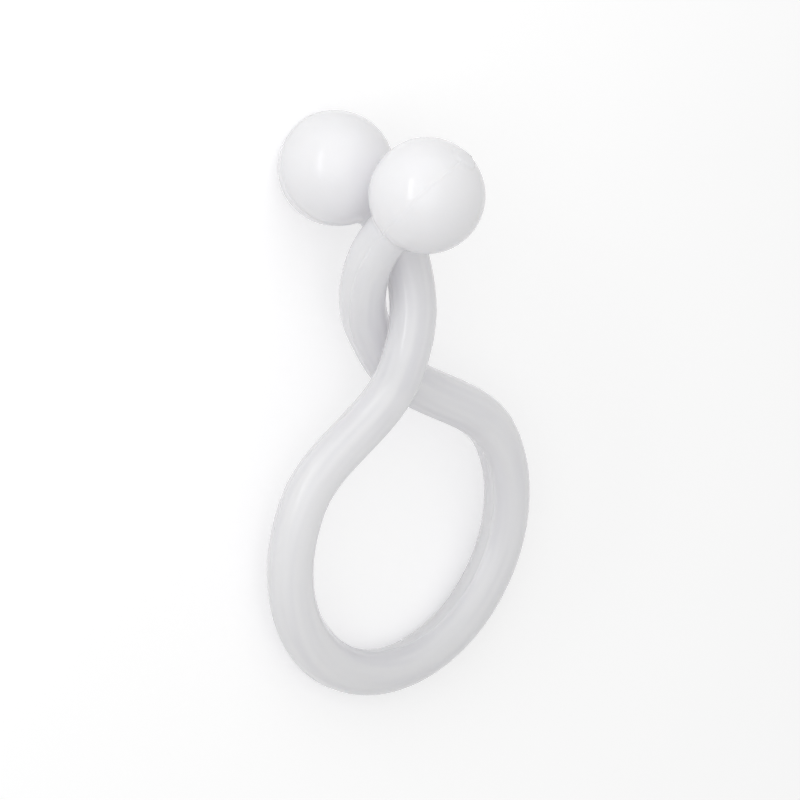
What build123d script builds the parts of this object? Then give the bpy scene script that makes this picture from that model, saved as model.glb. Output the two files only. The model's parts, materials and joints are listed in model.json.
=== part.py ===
"""A moulded plastic cable tie in one piece.

A round strand loops once around a bundle of cables, its two ends twist about each other above
the bundle, and each end stops in a ball that keeps the twist from slipping open.

The tie is worked out standing up: the bundle runs along X through the origin and the twisted neck
rises along Z, with the second end a copy of the first, half a turn about Z. The whole neck then
leans over a little in the plane of the loop. The finished tie is laid on its side, the way it
comes to rest on a table, with the origin under the middle of its bounding box. Lengths are in
millimetres and angles in degrees.
"""
from build123d import *
from math import cos, radians, sin, sqrt
import os

# Driving dimensions
BUNDLE_DIAMETER = 12.4      # cables that the loop closes around
STRAND_DIAMETER = 2.4
BALL_DIAMETER = 5.8
BALL_FILLET = 0.4           # in the corner between a ball and its strand
LOOP_END_ANGLE = 29.0       # how far above the loop's middle each end leaves the circle
NECK_RISE = 3.15            # from the loop's centre line up to the twist's zero angle
TWIST_PITCH = 17.0          # height of one full turn of the twist
TWIST_START = -31.0         # twist angle where the two ends first lie side by side
TWIST_END = 63.0            # twist angle where they begin to part again
BALL_TWIST = 187.0          # twist angle at which the balls stand
CLEARANCE = 0.12            # between the twisted ends, and between the balls
NECK_LEAN = 3.7             # tilt of the neck in the plane of the loop
BALL_CLIMB = 46.0           # slope at which a strand runs into its ball
BALL_HEADING = 28.0         # direction of that run, turned on from straight outwards

# Sizes that follow
strand_radius = STRAND_DIAMETER / 2
ball_radius = BALL_DIAMETER / 2
loop_radius = BUNDLE_DIAMETER / 2 + strand_radius
twist_radius = (STRAND_DIAMETER + CLEARANCE) / 2
ball_offset = (BALL_DIAMETER + CLEARANCE) / 2
fillet_offset = strand_radius + BALL_FILLET
ball_seat = sqrt((ball_radius + BALL_FILLET) ** 2 - fillet_offset**2)  # ball centre to strand end

TWIST_GUIDES = 5            # points that lead a strand's centre line along the twist
STRAND_SAMPLES = 240        # points of the centre line that may touch the table
FIRST_ROLL = 8.0            # first and last turns tried when the tie settles on the table
LAST_ROLL = 0.01
ROLL_HINGES = 24            # directions that each turn is tried in


def polar(radius, angle, height):
    """A point at this distance and angle from the Z axis."""
    return Vector(radius * cos(radians(angle)), radius * sin(radians(angle)), height)


def twist_point(radius, twist):
    """A point of the first end, in the upright neck, at this distance from the neck's middle."""
    return polar(radius, twist, loop_radius + NECK_RISE + TWIST_PITCH * twist / 360)


def place_in_neck(vector, half_turn):
    """Turn a point or direction of the first end to the end asked for, and lean it over."""
    return vector.rotate(Axis.Z, half_turn).rotate(Axis.X, NECK_LEAN)


def ball_centre(half_turn):
    """The centre of the ball on one end."""
    return place_in_neck(twist_point(ball_offset, BALL_TWIST), half_turn)


def ball_direction(half_turn):
    """The direction in which one end runs into its ball."""
    run = polar(cos(radians(BALL_CLIMB)), BALL_TWIST + BALL_HEADING, sin(radians(BALL_CLIMB)))
    return place_in_neck(run, half_turn)


def strand_end(half_turn):
    """The centre line of one end, from the loop to its ball."""
    rise = radians(LOOP_END_ANGLE)
    start = Vector(0, -cos(rise), sin(rise)) * loop_radius
    upwards = Vector(0, sin(rise), cos(rise))
    step = (TWIST_END - TWIST_START) / (TWIST_GUIDES - 1)
    guides = [twist_point(twist_radius, TWIST_START + step * i) for i in range(TWIST_GUIDES)]
    points = [start.rotate(Axis.Z, half_turn)]
    points += [place_in_neck(guide, half_turn) for guide in guides]
    points.append(ball_centre(half_turn) - ball_direction(half_turn) * ball_seat)
    return Spline(points, tangents=[upwards.rotate(Axis.Z, half_turn), ball_direction(half_turn)])


def strand_path():
    """The centre line of the whole strand, from ball to ball around the bundle."""
    first = strand_end(0)
    second = strand_end(180)
    loop = ThreePointArc(first @ 0, (0, 0, -loop_radius), second @ 0)
    return Wire([first, loop, second])


def strand(path):
    """The round strand that follows the path."""
    section = Plane(origin=path @ 0, z_dir=path % 0) * Circle(strand_radius)
    return sweep(section, path=path)


def ball(half_turn):
    """The ball on one end, with the fillet that runs out onto the strand."""
    seat = (strand_radius, -ball_seat)
    touch = Vector(fillet_offset, -ball_seat) * (ball_radius / (ball_radius + BALL_FILLET))
    outline = [
        ThreePointArc((0, ball_radius), (ball_radius, 0), touch),
        RadiusArc(touch, seat, BALL_FILLET),
        Polyline(seat, (0, -ball_seat), (0, ball_radius)),
    ]
    turned = revolve(Plane.XZ * make_face(outline), axis=Axis.Z)
    return Plane(origin=ball_centre(half_turn), z_dir=ball_direction(half_turn)) * turned


def resting_direction(tie, path):
    """The direction that points up once the tie lies on its side with its weight at its lowest."""
    middle = tie.center(CenterOf.MASS)
    touching = [(path @ (i / STRAND_SAMPLES), strand_radius) for i in range(STRAND_SAMPLES + 1)]
    touching += [(ball_centre(half_turn), ball_radius) for half_turn in (0, 180)]

    def height(up):
        return max(radius - up.dot(point - middle) for point, radius in touching)

    hinges = [polar(1, 360 * i / ROLL_HINGES, 0).rotate(Axis.Y, 90) for i in range(ROLL_HINGES)]
    up = Vector(1, 0, 0)
    roll = FIRST_ROLL
    while roll > LAST_ROLL:
        tries = [up.rotate(Axis((0, 0, 0), hinge), roll) for hinge in hinges]
        lowest = min(tries, key=height)
        if height(lowest) < height(up):
            up = lowest
        else:
            roll /= 2
    return up


def table_under(tie, path):
    """The table's plane under the upright tie, with its origin where the finished part's is."""
    up = resting_direction(tie, path)
    table = Plane(origin=(0, 0, 0), x_dir=Vector(0, 0, 1).cross(up), z_dir=up)
    box = table.to_local_coords(tie).bounding_box()
    middle = Vector(box.center().X, box.center().Y, box.min.Z)
    return Plane(origin=table.from_local_coords(middle), x_dir=table.x_dir, z_dir=up)


def main():
    path = strand_path()
    tie = strand(path) + [ball(half_turn) for half_turn in (0, 180)]
    table = table_under(tie, path)
    cable_tie = table.to_local_coords(tie)
    cable_tie.label = "cable_tie"
    os.makedirs("parts", exist_ok=True)
    export_step(cable_tie, "parts/cable_tie.step")
    print("size", cable_tie.bounding_box().size)
    print("loop centre", table.to_local_coords(Vector(0, 0, 0)))
    print("bundle axis", table.to_local_coords(Vector(1, 0, 0)) - table.to_local_coords(Vector(0, 0, 0)))


if __name__ == "__main__":
    main()
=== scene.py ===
"""A moulded twist cable tie in milky natural plastic, lying on a pale studio floor.

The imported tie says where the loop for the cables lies. The strand's centre line is worked out from
the tie's own sizes, and a node tree sweeps the strand and both balls along it in one closed skin,
with the marks that moulding leaves: a parting line down each side, a gate mark on one ball and a
surface that is not quite even.
"""

import json
import logging
import math
from dataclasses import dataclass
from enum import Enum

import bpy
import numpy as np
from mathutils import Matrix, Vector


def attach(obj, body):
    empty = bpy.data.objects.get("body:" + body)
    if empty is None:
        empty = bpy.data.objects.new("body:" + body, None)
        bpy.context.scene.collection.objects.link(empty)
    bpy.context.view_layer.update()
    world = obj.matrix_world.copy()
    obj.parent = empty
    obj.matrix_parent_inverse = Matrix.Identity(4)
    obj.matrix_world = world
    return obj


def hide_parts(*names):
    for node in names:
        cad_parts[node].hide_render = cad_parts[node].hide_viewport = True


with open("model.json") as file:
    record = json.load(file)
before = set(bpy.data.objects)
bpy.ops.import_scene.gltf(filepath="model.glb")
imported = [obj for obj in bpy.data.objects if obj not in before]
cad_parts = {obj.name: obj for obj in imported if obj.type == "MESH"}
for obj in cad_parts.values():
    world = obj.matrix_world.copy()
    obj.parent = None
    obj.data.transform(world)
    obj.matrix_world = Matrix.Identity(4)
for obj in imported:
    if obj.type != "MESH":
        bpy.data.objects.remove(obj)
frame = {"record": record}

LOG = logging.getLogger("cable_tie")
MM = 0.001
PLAIN_NOISE = 1.0       # finer layers of blots in a noise pattern
PATCHY_NOISE = 2.0      # the same, where the pattern is more broken up


def linear(hex_colour: str) -> tuple[float, float, float, float]:
    """Turn an sRGB hex colour into linear light.

    Args:
        hex_colour: the colour as "#rrggbb".

    Returns:
        Red, green, blue and an alpha of 1.
    """
    channels = [int(hex_colour[i:i + 2], 16) / 255 for i in (1, 3, 5)]
    light = [c / 12.92 if c <= 0.04045 else ((c + 0.055) / 1.055) ** 2.4 for c in channels]
    return (*light, 1.0)


def add_node(
    tree: bpy.types.NodeTree, kind: str, inputs: dict[str | int, object] | None = None, **settings: object
) -> bpy.types.Node:
    """Add a node to a tree, with its settings and its inputs.

    Args:
        tree: the tree that gets the node.
        kind: the node's type name.
        inputs: input name or index, to a value, a node (its first output) or an output socket.
        settings: attributes of the node itself.

    Returns:
        The new node.
    """
    node = tree.nodes.new(kind)
    for name, value in settings.items():
        setattr(node, name, value)
    for name, value in (inputs or {}).items():
        in_use = (socket for socket in node.inputs if socket.enabled and socket.name == name)
        entry = node.inputs[name] if isinstance(name, int) else next(in_use)
        if isinstance(value, bpy.types.Node):
            value = next(socket for socket in value.outputs if socket.enabled)
        if isinstance(value, bpy.types.NodeSocket):
            tree.links.new(value, entry)
        else:
            entry.default_value = value
    return node


class Half(Enum):
    """The two halves of the strand, as degrees of turn about the neck."""

    FIRST = 0
    SECOND = 180


@dataclass(frozen=True)
class LoopPlace:
    """Where the loop for the cables lies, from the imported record.

    The tie's own axes are X along the cables and Z up the neck, which the record lays down along Y.
    """

    centre: Vector
    cable_axis: Vector
    bore_radius: float

    @classmethod
    def from_record(cls, record: dict) -> "LoopPlace":
        """Read the loop's mount.

        Args:
            record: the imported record.

        Returns:
            The loop's place.
        """
        loop = next(mount for mount in record["mounts"] if mount["name"] == "cable_loop")
        return cls(Vector(loop["pos_m"]), Vector(loop["axis"]).normalized(), loop["dims"]["r_mm"] * MM)

    def axes(self) -> Matrix:
        """Work out how the tie lies.

        Returns:
            The matrix that takes the tie's own axes to the record's.
        """
        neck = Vector((0, self.cable_axis.z, -self.cable_axis.y)).normalized()
        across = neck.cross(self.cable_axis)
        turned = Matrix((self.cable_axis, across, neck)).transposed()
        return Matrix.Translation(self.centre) @ turned.to_4x4()


def smooth_run(guides: list[Vector], first: Vector, last: Vector, gap: float) -> np.ndarray:
    """Points along the smoothest curve through the guides.

    The slopes at the guides are worked out so that the curve's bend has no jump there.

    Args:
        guides: points that the curve passes through.
        first: direction at the first guide.
        last: direction at the last guide.
        gap: distance between the points, about.

    Returns:
        The points as rows, both ends among them.
    """
    knots = np.array([tuple(guide) for guide in guides])
    chords = np.linalg.norm(np.diff(knots, axis=0), axis=1)
    system, wanted = np.eye(len(knots)), np.zeros((len(knots), 3))
    wanted[0], wanted[-1] = first, last
    steps = np.diff(knots, axis=0) / chords[:, None]
    for i in range(1, len(knots) - 1):
        before, after = chords[i - 1], chords[i]
        system[i, i - 1:i + 2] = after, 2 * (before + after), before
        wanted[i] = 3 * (after * steps[i - 1] + before * steps[i])
    slopes = np.linalg.solve(system, wanted)
    spans = []
    for i, length in enumerate(chords):
        last_span = i == len(chords) - 1
        share = np.linspace(0, 1, round(length / gap) + last_span, endpoint=last_span)[:, None]
        spans.append(
            (2 * share**3 - 3 * share**2 + 1) * knots[i]
            + (share**3 - 2 * share**2 + share) * length * slopes[i]
            + (3 * share**2 - 2 * share**3) * knots[i + 1]
            + (share**3 - share**2) * length * slopes[i + 1]
        )
    return np.concatenate(spans)


@dataclass
class TwistPath:
    """The strand's centre line and thickness, standing up in the tie's own axes."""

    bore_radius: float
    strand_radius: float = 1.2 * MM
    ball_radius: float = 2.9 * MM
    ball_fillet: float = 0.4 * MM                   # in the corner between a ball and its strand
    loop_end_angle: float = math.radians(29.0)      # how far above its middle each half leaves the loop
    neck_rise: float = 3.15 * MM                    # from the loop's centre line to the twist's zero angle
    twist_pitch: float = 17.0 * MM
    twist_start: float = math.radians(-31.0)        # where the two halves first lie side by side
    twist_end: float = math.radians(63.0)           # where they begin to part again
    twist_guides: int = 5
    ball_twist: float = math.radians(187.0)         # angle of twist at which the balls stand
    clearance: float = 0.12 * MM                    # between the twisted halves, and between the balls
    neck_lean: float = math.radians(3.7)            # tilt of the neck in the plane of the loop
    ball_climb: float = math.radians(46.0)          # slope at which the strand runs into a ball
    ball_heading: float = math.radians(28.0)        # direction of that run, on from straight outwards
    ring_gap: float = 0.14 * MM                     # between the rings of the strand
    fillet_rings: int = 5
    ball_rings: int = 52
    pole_crowding: float = 1.6                      # above 1, a ball's rings lie closer near its far pole

    @property
    def loop_radius(self) -> float:
        """Radius of the loop's centre line."""
        return self.bore_radius + self.strand_radius

    @property
    def ball_seat(self) -> float:
        """Distance from a ball's centre to the end of its fillet on the strand."""
        reach = self.strand_radius + self.ball_fillet
        return math.sqrt((self.ball_radius + self.ball_fillet) ** 2 - reach ** 2)

    @property
    def ball_touch(self) -> float:
        """Angle at a ball's centre from its far pole to where the fillet begins."""
        reach = self.strand_radius + self.ball_fillet
        return math.pi - math.asin(reach / (self.ball_radius + self.ball_fillet))

    def in_neck(self, place: Vector, half: Half) -> Vector:
        """Turn a point or direction of the first half to the half asked for, and lean it over."""
        turned = Matrix.Rotation(math.radians(half.value), 3, "Z") @ place
        return Matrix.Rotation(self.neck_lean, 3, "X") @ turned

    def beside_neck(self, radius: float, twist: float, half: Half) -> Vector:
        """A point at this distance from the neck's middle and this angle of twist.

        Args:
            radius: distance from the middle of the neck.
            twist: angle of the twist.
            half: which half of the strand.

        Returns:
            The point, in the tie's own axes.
        """
        height = self.loop_radius + self.neck_rise + self.twist_pitch * twist / math.tau
        return self.in_neck(Vector((radius * math.cos(twist), radius * math.sin(twist), height)), half)

    def ball(self, half: Half) -> tuple[Vector, Vector]:
        """Find the ball on one half.

        Args:
            half: which half.

        Returns:
            The ball's centre and the direction in which the strand runs into it.
        """
        centre = self.beside_neck(self.ball_radius + self.clearance / 2, self.ball_twist, half)
        turn, flat = self.ball_twist + self.ball_heading, math.cos(self.ball_climb)
        run = Vector((flat * math.cos(turn), flat * math.sin(turn), math.sin(self.ball_climb)))
        return centre, self.in_neck(run, half)

    def strand_half(self, half: Half) -> np.ndarray:
        """Points along one half of the strand.

        Args:
            half: which half.

        Returns:
            The points as rows, from the bottom of the loop to the fillet of the ball.
        """
        side = -1 if half is Half.FIRST else 1
        count = round((self.loop_end_angle + math.pi / 2) * self.loop_radius / self.ring_gap)
        angles = np.linspace(-math.pi / 2, self.loop_end_angle, count, endpoint=False)
        loop = np.stack([0 * angles, side * np.cos(angles), np.sin(angles)], axis=1) * self.loop_radius
        rise = self.loop_end_angle
        start = Vector((0, side * math.cos(rise), math.sin(rise))) * self.loop_radius
        upwards = Vector((0, -side * math.sin(rise), math.cos(rise)))
        twists = np.linspace(self.twist_start, self.twist_end, self.twist_guides)
        radius = self.strand_radius + self.clearance / 2
        centre, run = self.ball(half)
        guides = [start, *(self.beside_neck(radius, t, half) for t in twists), centre - run * self.ball_seat]
        return np.concatenate([loop, smooth_run(guides, upwards, run, self.ring_gap)])

    def ball_half(self, half: Half) -> tuple[np.ndarray, np.ndarray]:
        """Rings of one ball and of the fillet before it.

        Args:
            half: which half.

        Returns:
            The rings' centres as rows and their radii, from the strand's end to the ball's far pole.
        """
        centre, run = (np.array(place) for place in self.ball(half))
        fillet_length = self.ball_seat + self.ball_radius * math.cos(self.ball_touch)
        fillet = fillet_length * np.arange(1, self.fillet_rings + 1) / (self.fillet_rings + 1)
        fillet_radii = self.strand_radius + self.ball_fillet - np.sqrt(self.ball_fillet ** 2 - fillet ** 2)
        polar = self.ball_touch * np.linspace(1, 0, self.ball_rings) ** self.pole_crowding
        along = np.concatenate([fillet - self.ball_seat, self.ball_radius * np.cos(polar)])
        return centre + along[:, None] * run, np.concatenate([fillet_radii, self.ball_radius * np.sin(polar)])

    def rings(self) -> tuple[np.ndarray, np.ndarray]:
        """Every ring of the skin.

        Returns:
            The rings' centres as rows and their radii, from the first ball's far pole to the second's.
        """
        centres, radii = [], []
        for half in Half:
            strand = self.strand_half(half)
            ball_centres, ball_radii = self.ball_half(half)
            centres.append(np.concatenate([strand, ball_centres]))
            radii.append(np.concatenate([np.full(len(strand), self.strand_radius), ball_radii]))
        both = [centres[0][::-1], centres[1][1:]], [radii[0][::-1], radii[1][1:]]
        return np.concatenate(both[0]), np.concatenate(both[1])


@dataclass(frozen=True)
class NaturalPolyethylene:
    """Natural low-density polyethylene, uncoloured, as it comes out of the mould.

    It is milky and faintly cool, waxy rather than glassy. Light scatters several millimetres inside
    it, which softens every shadow on a strand this thin. Faint flow lines run along the strand and
    fade out in the balls, tight bends turn a little whiter, and handling leaves duller patches. The
    surface grain is finer than a view of the whole tie can show, so it is drawn coarser.
    """

    body: str = "#f1f0f4"
    flow_line: str = "#e2e1e7"
    whitened: str = "#f6f5f8"                                   # in the tightest bends
    scatter: tuple[float, float, float] = (1.0, 0.97, 0.94)     # shares of the depth: red, green, blue
    scatter_depth: float = 6.0 * MM
    ior: float = 1.51
    polished: float = 0.15                                      # roughness as it leaves the mould
    handled: float = 0.24                                       # roughness where fingers have dulled it
    handled_size: float = 1.8 * MM
    handled_onset: tuple[float, float] = (0.25, 0.75)           # noise where dulling starts and is full
    flow_width: float = 0.7 * MM
    flow_length: float = 9.0 * MM
    flow_onset: tuple[float, float] = (0.3, 0.75)               # noise where a flow line starts and is full
    grain: float = 0.3 * MM
    grain_depth: float = 0.005 * MM

    def build(self) -> bpy.types.Material:
        """Make the material.

        Returns:
            The material, which reads the skin's "moulded", "drawn" and "bend" attributes.
        """
        material = bpy.data.materials.new("natural_polyethylene_moulded")
        material.use_nodes = True
        tree = material.node_tree
        tree.nodes.clear()
        moulded = add_node(tree, "ShaderNodeAttribute", attribute_name="moulded").outputs["Vector"]
        lengths = (1 / self.flow_width, 1 / self.flow_width, 1 / self.flow_length)
        stretched = add_node(tree, "ShaderNodeVectorMath", {0: moulded, 1: lengths}, operation="MULTIPLY")
        flow = add_node(tree, "ShaderNodeTexNoise", {
            "Vector": stretched, "Scale": 1.0, "Detail": PLAIN_NOISE})
        streak = add_node(tree, "ShaderNodeMapRange", {
            "Value": flow.outputs["Fac"], "From Min": self.flow_onset[0], "From Max": self.flow_onset[1]},
            interpolation_type="SMOOTHSTEP")
        drawn = add_node(tree, "ShaderNodeAttribute", attribute_name="drawn").outputs["Fac"]
        streak = add_node(tree, "ShaderNodeMath", {0: streak, 1: drawn}, operation="MULTIPLY")
        colour = add_node(tree, "ShaderNodeMix", {
            "Factor": streak, "A": linear(self.body), "B": linear(self.flow_line)}, data_type="RGBA")
        bend = add_node(tree, "ShaderNodeAttribute", attribute_name="bend").outputs["Fac"]
        colour = add_node(tree, "ShaderNodeMix", {
            "Factor": bend, "A": colour, "B": linear(self.whitened)}, data_type="RGBA")
        place = add_node(tree, "ShaderNodeTexCoord").outputs["Object"]
        dull = add_node(tree, "ShaderNodeTexNoise", {
            "Vector": place, "Scale": 1 / self.handled_size, "Detail": PATCHY_NOISE})
        roughness = add_node(tree, "ShaderNodeMapRange", {
            "Value": dull.outputs["Fac"],
            "From Min": self.handled_onset[0], "From Max": self.handled_onset[1],
            "To Min": self.polished, "To Max": self.handled})
        grain = add_node(tree, "ShaderNodeTexNoise", {
            "Vector": place, "Scale": 1 / self.grain, "Detail": PLAIN_NOISE})
        satin = add_node(tree, "ShaderNodeBump", {
            "Height": grain.outputs["Fac"], "Distance": self.grain_depth, "Strength": 1.0})
        shader = add_node(tree, "ShaderNodeBsdfPrincipled", {
            "Base Color": colour,
            "Roughness": roughness,
            "IOR": self.ior,
            "Subsurface Weight": 1.0,
            "Subsurface Radius": self.scatter,
            "Subsurface Scale": self.scatter_depth,
            "Normal": satin,
        })
        add_node(tree, "ShaderNodeOutputMaterial", {"Surface": shader})
        return material


@dataclass
class TwistTie:
    """The tie in one closed skin: strand, loop and both balls."""

    path: TwistPath
    place: LoopPlace
    sides: int = 88
    seam_crowding: float = 0.8              # 0 spaces the sides evenly, 1 closes them up at the seam
    seam_height: float = 0.05 * MM
    seam_width: float = 0.07 * MM           # from its middle to where it has fallen to about a third
    unevenness: float = 0.03 * MM
    unevenness_size: float = 3.5 * MM
    shrinkage: float = 0.03 * MM            # sets the skin back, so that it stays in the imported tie's box
    weld: float = 0.001 * MM                # points closer than this are one, as at the balls' poles
    gate_radius: float = 0.60 * MM
    gate_height: float = 0.12 * MM
    gate_edge: float = 0.08                 # half the width of its sloping edge, as a share of its radius
    flow_fade: float = 3.0 * MM             # length of strand over which the flow lines set in
    bend_reach: float = 2.4 * MM            # length of strand over which a bend is measured
    gentle_bend: float = 9.0 * MM           # bend radius at which whitening starts
    tight_bend: float = 3.4 * MM            # bend radius at which it is full

    def centre_line(self) -> bpy.types.Object:
        """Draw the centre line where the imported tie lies.

        Returns:
            The curve that the skin follows, with each ring's radius on its point.
        """
        centres, radii = self.path.rings()
        axes = np.array(self.place.axes())
        centres = centres @ axes[:3, :3].T + axes[:3, 3]
        curve = bpy.data.curves.new("tie_centre_line", "CURVE")
        curve.dimensions = "3D"
        spline = curve.splines.new("POLY")
        spline.points.add(len(centres) - 1)
        spline.points.foreach_set("co", np.column_stack([centres, np.ones(len(centres))]).ravel())
        spline.points.foreach_set("radius", radii)
        line = bpy.data.objects.new("tie_centre_line", curve)
        bpy.context.scene.collection.objects.link(line)
        return line

    def sizes(self, plastic: bpy.types.Material) -> dict[str, object]:
        """The skin tree's named inputs.

        Args:
            plastic: the tie's material.

        Returns:
            Input name to value.
        """
        centre, run = self.path.ball(Half.SECOND)
        ball_length = self.path.ball_radius + self.path.ball_seat
        return {
            "Sides": self.sides,
            "Seam Crowding": self.seam_crowding,
            "Seam Height": self.seam_height,
            "Seam Width": self.seam_width,
            "Unevenness": self.unevenness,
            "Unevenness Size": self.unevenness_size,
            "Shrinkage": self.shrinkage,
            "Weld": self.weld,
            "Gate Place": self.place.axes() @ (centre + run * self.path.ball_radius),
            "Gate Radius": self.gate_radius,
            "Gate Height": self.gate_height,
            "Gate Rim": 1 + self.gate_edge,
            "Gate Top": 1 - self.gate_edge,
            "Ball Length": ball_length,
            "Flow Start": ball_length + self.flow_fade,
            "Bend Reach": self.bend_reach,
            "Gentle Bend": 1 / self.gentle_bend,
            "Tight Bend": 1 / self.tight_bend,
            "Material": plastic,
        }

    def skin_tree(self, sizes: dict[str, object]) -> bpy.types.NodeTree:
        """The node tree that sweeps the skin along the centre line.

        Args:
            sizes: the tree's named inputs, which give their types.

        Returns:
            The tree.
        """
        kinds = {int: "Int", float: "Float", Vector: "Vector", bpy.types.Material: "Material"}
        tree = bpy.data.node_groups.new("moulded_strand_skin", "GeometryNodeTree")
        tree.interface.new_socket("Geometry", in_out="INPUT", socket_type="NodeSocketGeometry")
        for name, value in sizes.items():
            tree.interface.new_socket(name, in_out="INPUT", socket_type=f"NodeSocket{kinds[type(value)]}")
        tree.interface.new_socket("Geometry", in_out="OUTPUT", socket_type="NodeSocketGeometry")
        given = add_node(tree, "NodeGroupInput").outputs
        line = self.measured_line(tree, given)
        swept = add_node(tree, "GeometryNodeCurveToMesh", {
            "Curve": line,
            "Profile Curve": self.section(tree, given),
            "Scale": add_node(tree, "GeometryNodeInputNamedAttribute", {"Name": "thickness"})})
        closed = add_node(tree, "GeometryNodeMergeByDistance", {"Geometry": swept, "Distance": given["Weld"]})
        marked = self.flow_place(tree, closed)
        level = add_node(tree, "ShaderNodeMath", {
            0: self.waver(tree, given), 1: given["Shrinkage"]}, operation="SUBTRACT")
        marks = add_node(tree, "ShaderNodeMath", {
            0: self.seam(tree, given), 1: self.gate(tree, given)}, operation="MAXIMUM")
        lift = add_node(tree, "ShaderNodeMath", {0: level, 1: marks}, operation="ADD")
        raised = add_node(tree, "ShaderNodeVectorMath", {
            0: add_node(tree, "GeometryNodeInputNormal"), "Scale": lift}, operation="SCALE")
        shaped = add_node(tree, "GeometryNodeSetPosition", {"Geometry": marked, "Offset": raised})
        smooth = add_node(tree, "GeometryNodeSetShadeSmooth", {"Geometry": shaped})
        real = add_node(tree, "GeometryNodeRealizeInstances", {"Geometry": smooth})
        dressed = add_node(tree, "GeometryNodeSetMaterial", {"Geometry": real, "Material": given["Material"]})
        add_node(tree, "NodeGroupOutput", {"Geometry": dressed})
        return tree

    def measured_line(self, tree: bpy.types.NodeTree, given: bpy.types.NodeOutputs) -> bpy.types.Node:
        """Mark the centre line with what the skin and the plastic read from it.

        The marks are its thickness, the distance along it, how far the plastic was drawn out into
        the strand, which is nothing in the balls, and how tightly it bends, by how much it turns
        from half the bend reach before a point to half of it beyond.

        Args:
            tree: the skin tree.
            given: the tree's inputs.

        Returns:
            The node that gives the marked line.
        """
        along = add_node(tree, "GeometryNodeSplineParameter").outputs["Length"]
        radius = add_node(tree, "GeometryNodeInputRadius")
        line = add_node(tree, "GeometryNodeStoreNamedAttribute", {
            "Geometry": given["Geometry"], "Name": "thickness", "Value": radius})
        line = add_node(tree, "GeometryNodeStoreNamedAttribute", {
            "Geometry": line, "Name": "along", "Value": along})
        whole = add_node(tree, "GeometryNodeSplineLength").outputs["Length"]
        rest = add_node(tree, "ShaderNodeMath", {0: whole, 1: along}, operation="SUBTRACT")
        from_end = add_node(tree, "ShaderNodeMath", {0: along, 1: rest}, operation="MINIMUM")
        drawn = add_node(tree, "ShaderNodeMapRange", {
            "Value": from_end, "From Min": given["Ball Length"], "From Max": given["Flow Start"]},
            interpolation_type="SMOOTHSTEP")
        line = add_node(tree, "GeometryNodeStoreNamedAttribute", {
            "Geometry": line, "Name": "drawn", "Value": drawn})
        tangents = []
        for step in (-0.5, 0.5):
            there = add_node(tree, "ShaderNodeMath", {
                0: given["Bend Reach"], 1: step, 2: along}, operation="MULTIPLY_ADD")
            sample = add_node(tree, "GeometryNodeSampleCurve", {
                "Curves": line, "Length": there}, mode="LENGTH")
            tangents.append(sample.outputs["Tangent"])
        turned = add_node(tree, "ShaderNodeVectorMath", {
            0: tangents[1], 1: tangents[0]}, operation="DISTANCE").outputs["Value"]
        bend = add_node(tree, "ShaderNodeMath", {0: turned, 1: given["Bend Reach"]}, operation="DIVIDE")
        whitened = add_node(tree, "ShaderNodeMapRange", {
            "Value": bend, "From Min": given["Gentle Bend"], "From Max": given["Tight Bend"]},
            interpolation_type="SMOOTHSTEP")
        return add_node(tree, "GeometryNodeStoreNamedAttribute", {
            "Geometry": line, "Name": "bend", "Value": whitened})

    def section(self, tree: bpy.types.NodeTree, given: bpy.types.NodeOutputs) -> bpy.types.Node:
        """The strand's round section, with its points closer together beside both parting lines.

        A point's angle is a - sin(2 a) * crowding / 2, where a is its even share of the turn.

        Args:
            tree: the skin tree.
            given: the tree's inputs.

        Returns:
            The node that gives the section, one unit in radius.
        """
        circle = add_node(tree, "GeometryNodeCurvePrimitiveCircle", {
            "Resolution": given["Sides"], "Radius": 1.0})
        share = add_node(tree, "GeometryNodeSplineParameter").outputs["Factor"]
        even = add_node(tree, "ShaderNodeMath", {0: share, 1: math.tau}, operation="MULTIPLY")
        twice = add_node(tree, "ShaderNodeMath", {0: even, 1: 2.0}, operation="MULTIPLY")
        wave = add_node(tree, "ShaderNodeMath", {0: twice}, operation="SINE")
        pull = add_node(tree, "ShaderNodeMath", {0: wave, 1: given["Seam Crowding"]}, operation="MULTIPLY")
        turn = add_node(tree, "ShaderNodeMath", {0: pull, 1: -0.5, 2: even}, operation="MULTIPLY_ADD")
        marked = add_node(tree, "GeometryNodeStoreNamedAttribute", {
            "Geometry": circle, "Name": "around", "Value": turn})
        around = add_node(tree, "GeometryNodeInputNamedAttribute", {"Name": "around"})
        rim = add_node(tree, "ShaderNodeCombineXYZ", {
            "X": add_node(tree, "ShaderNodeMath", {0: around}, operation="COSINE"),
            "Y": add_node(tree, "ShaderNodeMath", {0: around}, operation="SINE")})
        return add_node(tree, "GeometryNodeSetPosition", {"Geometry": marked, "Position": rim})

    def seam(self, tree: bpy.types.NodeTree, given: bpy.types.NodeOutputs) -> bpy.types.Node:
        """The parting line, a low ridge that the two halves of the mould leave down each side.

        The ridge falls off as a bell curve, by its distance from the plane where the mould parts.

        Args:
            tree: the skin tree.
            given: the tree's inputs.

        Returns:
            The node that gives the ridge's height.
        """
        thickness = add_node(tree, "GeometryNodeInputNamedAttribute", {"Name": "thickness"})
        around = add_node(tree, "GeometryNodeInputNamedAttribute", {"Name": "around"})
        sine = add_node(tree, "ShaderNodeMath", {0: around}, operation="SINE")
        off_plane = add_node(tree, "ShaderNodeMath", {0: thickness, 1: sine}, operation="MULTIPLY")
        widths = add_node(tree, "ShaderNodeMath", {0: off_plane, 1: given["Seam Width"]}, operation="DIVIDE")
        squared = add_node(tree, "ShaderNodeMath", {0: widths, 1: widths}, operation="MULTIPLY")
        fall = add_node(tree, "ShaderNodeMath", {0: squared, 1: -1.0}, operation="MULTIPLY")
        ridge = add_node(tree, "ShaderNodeMath", {0: fall}, operation="EXPONENT")
        return add_node(tree, "ShaderNodeMath", {0: ridge, 1: given["Seam Height"]}, operation="MULTIPLY")

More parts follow.
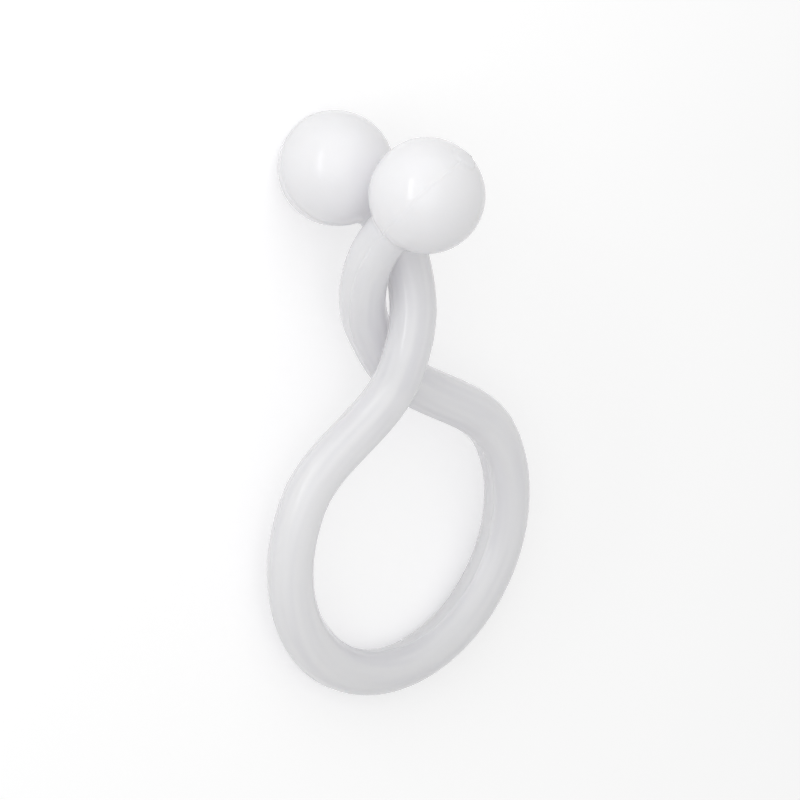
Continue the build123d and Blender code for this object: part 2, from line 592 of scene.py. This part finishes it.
    def gate(self, tree: bpy.types.NodeTree, given: bpy.types.NodeOutputs) -> bpy.types.Node:
        """The gate mark, a small raised disc where the runner was cut off.

        Args:
            tree: the skin tree.
            given: the tree's inputs.

        Returns:
            The node that gives the mark's height.
        """
        away = add_node(tree, "ShaderNodeVectorMath", {
            0: add_node(tree, "GeometryNodeInputPosition"), 1: given["Gate Place"]}, operation="DISTANCE")
        radii = add_node(tree, "ShaderNodeMath", {
            0: away.outputs["Value"], 1: given["Gate Radius"]}, operation="DIVIDE")
        disc = add_node(tree, "ShaderNodeMapRange", {
            "Value": radii, "From Min": given["Gate Rim"], "From Max": given["Gate Top"]},
            interpolation_type="SMOOTHSTEP")
        return add_node(tree, "ShaderNodeMath", {0: disc, 1: given["Gate Height"]}, operation="MULTIPLY")

    def waver(self, tree: bpy.types.NodeTree, given: bpy.types.NodeOutputs) -> bpy.types.Node:
        """The slight unevenness of soft plastic that has been bent by hand.

        The noise runs from 0 to 1 about a level of a half, which is taken off.

        Args:
            tree: the skin tree.
            given: the tree's inputs.

        Returns:
            The node that gives the rise or dip.
        """
        scale = add_node(tree, "ShaderNodeMath", {0: 1.0, 1: given["Unevenness Size"]}, operation="DIVIDE")
        noise = add_node(tree, "ShaderNodeTexNoise", {
            "Vector": add_node(tree, "GeometryNodeInputPosition"), "Scale": scale, "Detail": PLAIN_NOISE})
        level = add_node(tree, "ShaderNodeMath", {0: noise.outputs["Fac"], 1: 0.5}, operation="SUBTRACT")
        return add_node(tree, "ShaderNodeMath", {0: level, 1: given["Unevenness"]}, operation="MULTIPLY")

    def flow_place(self, tree: bpy.types.NodeTree, skin: bpy.types.Node) -> bpy.types.Node:
        """Mark the skin with its place in the straight moulding, before the tie was twisted.

        Args:
            tree: the skin tree.
            skin: the node that gives the skin.

        Returns:
            The node that gives the marked skin.
        """
        thickness = add_node(tree, "GeometryNodeInputNamedAttribute", {"Name": "thickness"})
        around = add_node(tree, "GeometryNodeInputNamedAttribute", {"Name": "around"})
        cosine = add_node(tree, "ShaderNodeMath", {0: around}, operation="COSINE")
        sine = add_node(tree, "ShaderNodeMath", {0: around}, operation="SINE")
        place = add_node(tree, "ShaderNodeCombineXYZ", {
            "X": add_node(tree, "ShaderNodeMath", {0: thickness, 1: cosine}, operation="MULTIPLY"),
            "Y": add_node(tree, "ShaderNodeMath", {0: thickness, 1: sine}, operation="MULTIPLY"),
            "Z": add_node(tree, "GeometryNodeInputNamedAttribute", {"Name": "along"})})
        return add_node(tree, "GeometryNodeStoreNamedAttribute", {
            "Geometry": skin, "Name": "moulded", "Value": place}, data_type="FLOAT_VECTOR")

    def build(self, finish: NaturalPolyethylene) -> bpy.types.Object:
        """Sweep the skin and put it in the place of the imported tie.

        Args:
            finish: the plastic.

        Returns:
            The finished piece.
        """
        sizes = self.sizes(finish.build())
        line, tree = self.centre_line(), self.skin_tree(sizes)
        sweep = line.modifiers.new("skin", "NODES")
        sweep.node_group = tree
        for socket in tree.interface.items_tree:
            if socket.in_out == "INPUT" and socket.name in sizes:
                sweep[socket.identifier] = sizes[socket.name]
        mesh = bpy.data.meshes.new_from_object(line.evaluated_get(bpy.context.evaluated_depsgraph_get()))
        bpy.data.objects.remove(line)
        tie = bpy.data.objects.new("moulded_tie", mesh)
        bpy.context.scene.collection.objects.link(tie)
        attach(tie, "root")
        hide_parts("cable_tie")
        LOG.info("%s: %d points, %d faces", tie.name, len(mesh.vertices), len(mesh.polygons))
        return tie


def seen_directly(tree: bpy.types.NodeTree) -> bpy.types.Node:
    """A node that gives 1 where the camera sees a surface, be it straight, mirrored or through glass.

    Args:
        tree: the material's or the world's tree.

    Returns:
        The node, which gives 0 for every ray that only carries light.
    """
    rays = add_node(tree, "ShaderNodeLightPath").outputs
    seen = add_node(tree, "ShaderNodeMath", {
        0: rays["Is Camera Ray"], 1: rays["Is Glossy Ray"]}, operation="MAXIMUM")
    return add_node(tree, "ShaderNodeMath", {0: seen, 1: rays["Is Transmission Ray"]}, operation="MAXIMUM")


@dataclass(frozen=True)
class StudioPaper:
    """Matt white background paper, smooth, with a little glow that lights nothing else."""

    paper: str = "#f4f4f4"
    glow: float = 0.32

    def build(self) -> bpy.types.Material:
        """Make the material.

        Returns:
            The paper's material.
        """
        material = bpy.data.materials.new("white_background_paper")
        material.use_nodes = True
        tree = material.node_tree
        tree.nodes.clear()
        glow = add_node(tree, "ShaderNodeMath", {0: seen_directly(tree), 1: self.glow}, operation="MULTIPLY")
        surface = add_node(tree, "ShaderNodeAddShader", {
            0: add_node(tree, "ShaderNodeBsdfDiffuse", {"Color": linear(self.paper)}),
            1: add_node(tree, "ShaderNodeEmission", {"Strength": glow})})
        add_node(tree, "ShaderNodeOutputMaterial", {"Surface": surface})
        return material


@dataclass(frozen=True)
class Lamp:
    """A soft box that faces the loop, with its sizes in metres and its power in watts."""

    name: str
    place: tuple[float, float, float]       # its direction, as right, up and back in the camera's view
    distance: float
    width: float
    height: float
    power: float


@dataclass
class Studio:
    """A pale floor, soft lamps and the camera, around a tie that lies on its side."""

    place: LoopPlace
    rise: float = math.radians(23.2)        # of the camera above the cables, for a tie that stands up
    turn: float = math.radians(47.6)        # of the camera about the neck, from straight across them
    aim: float = 7.3 * MM                   # height up the neck, from the loop's middle, at mid-view
    view_width: float = 40.0 * MM
    lens: float = 300.0
    nearest: float = 10.0 * MM              # the camera sees nothing nearer than this
    floor_side: float = 3.0
    white: str = "#ffffff"                  # of the surroundings
    fill: float = 0.56                      # their strength where they only light
    lamps: tuple[Lamp, ...] = (
        Lamp("overhead", (0.0, 0.75, 0.66), distance=0.07, width=0.06, height=0.06, power=0.0066),
        Lamp("front", (0.0, 0.0, 1.0), distance=0.20, width=0.15, height=0.15, power=0.060),
        Lamp("window", (-0.50, 0.25, 0.83), distance=0.15, width=0.014, height=0.11, power=0.026),
    )

    def view(self) -> Matrix:
        """Work out the camera's view.

        Returns:
            Its right, up and back directions, as columns in the record's axes.
        """
        right = Vector((math.cos(self.turn), math.sin(self.turn), 0))
        flat, height = math.cos(self.rise), math.sin(self.rise)
        back = Vector((math.sin(self.turn) * flat, -math.cos(self.turn) * flat, height))
        seen = Matrix((right, back.cross(right), back)).transposed()
        return self.place.axes().to_3x3() @ seen

    def add_camera(self) -> None:
        """Set the camera up, far off with a long lens."""
        lens = bpy.data.cameras.new("camera")
        lens.lens = self.lens
        lens.clip_start = self.nearest
        camera = bpy.data.objects.new("camera", lens)
        bpy.context.scene.collection.objects.link(camera)
        view = self.view()
        distance = self.view_width * self.lens / lens.sensor_width
        aim = self.place.axes() @ Vector((0, 0, self.aim))
        camera.matrix_world = Matrix.Translation(aim + view.col[2] * distance) @ view.to_4x4()
        bpy.context.scene.camera = camera
        LOG.info("camera: %.0f mm lens, %.0f mm off", lens.lens, distance / MM)

    def add_lamp(self, lamp: Lamp) -> None:
        """Add one soft box.

        Args:
            lamp: its place, size and power.
        """
        light = bpy.data.lights.new(lamp.name, "AREA")
        light.shape = "RECTANGLE"
        light.size, light.size_y = lamp.width, lamp.height
        light.energy = lamp.power
        box = bpy.data.objects.new(lamp.name, light)
        box.visible_camera = False
        bpy.context.scene.collection.objects.link(box)
        view = self.view()
        towards = (view @ Vector(lamp.place)).normalized()
        across = view.col[1].cross(towards).normalized()
        turned = Matrix((across, towards.cross(across), towards)).transposed()
        box.matrix_world = Matrix.Translation(self.place.centre + towards * lamp.distance) @ turned.to_4x4()
        LOG.info("%s lamp: %.0f degrees above the floor", lamp.name, math.degrees(math.asin(towards.z)))

    def add_floor(self) -> None:
        """Lay the floor under the tie."""
        half = self.floor_side / 2
        corners = [(-half, -half, 0), (half, -half, 0), (half, half, 0), (-half, half, 0)]
        mesh = bpy.data.meshes.new("floor")
        mesh.from_pydata(corners, [], [range(4)])
        mesh.materials.append(StudioPaper().build())
        floor = bpy.data.objects.new("floor", mesh)
        bpy.context.scene.collection.objects.link(floor)

    def add_surroundings(self) -> None:
        """Plain white all round where it is seen, and a softer fill where it only lights."""
        world = bpy.data.worlds.new("studio")
        world.use_nodes = True
        tree = world.node_tree
        tree.nodes.clear()
        strength = add_node(tree, "ShaderNodeMapRange", {"Value": seen_directly(tree), "To Min": self.fill})
        around = add_node(tree, "ShaderNodeBackground", {"Color": linear(self.white), "Strength": strength})
        add_node(tree, "ShaderNodeOutputWorld", {"Surface": around})
        bpy.context.scene.world = world

    def build(self) -> None:
        """Set the whole studio up."""
        self.add_floor()
        self.add_surroundings()
        for lamp in self.lamps:
            self.add_lamp(lamp)
        self.add_camera()


def clear_stage() -> None:
    """Take away the cube, lamp and camera that a new Blender file starts with."""
    for name in ("Cube", "Light", "Camera"):
        if name in bpy.data.objects:
            bpy.data.objects.remove(bpy.data.objects[name])


def main() -> None:
    """Build the tie and its studio."""
    logging.basicConfig(level=logging.INFO, format="%(name)s: %(message)s")
    clear_stage()
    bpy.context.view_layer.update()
    bpy.context.scene.view_settings.view_transform = "Standard"
    place = LoopPlace.from_record(frame["record"])
    TwistTie(TwistPath(place.bore_radius), place).build(NaturalPolyethylene())
    Studio(place).build()


if __name__ == "__main__":
    main()
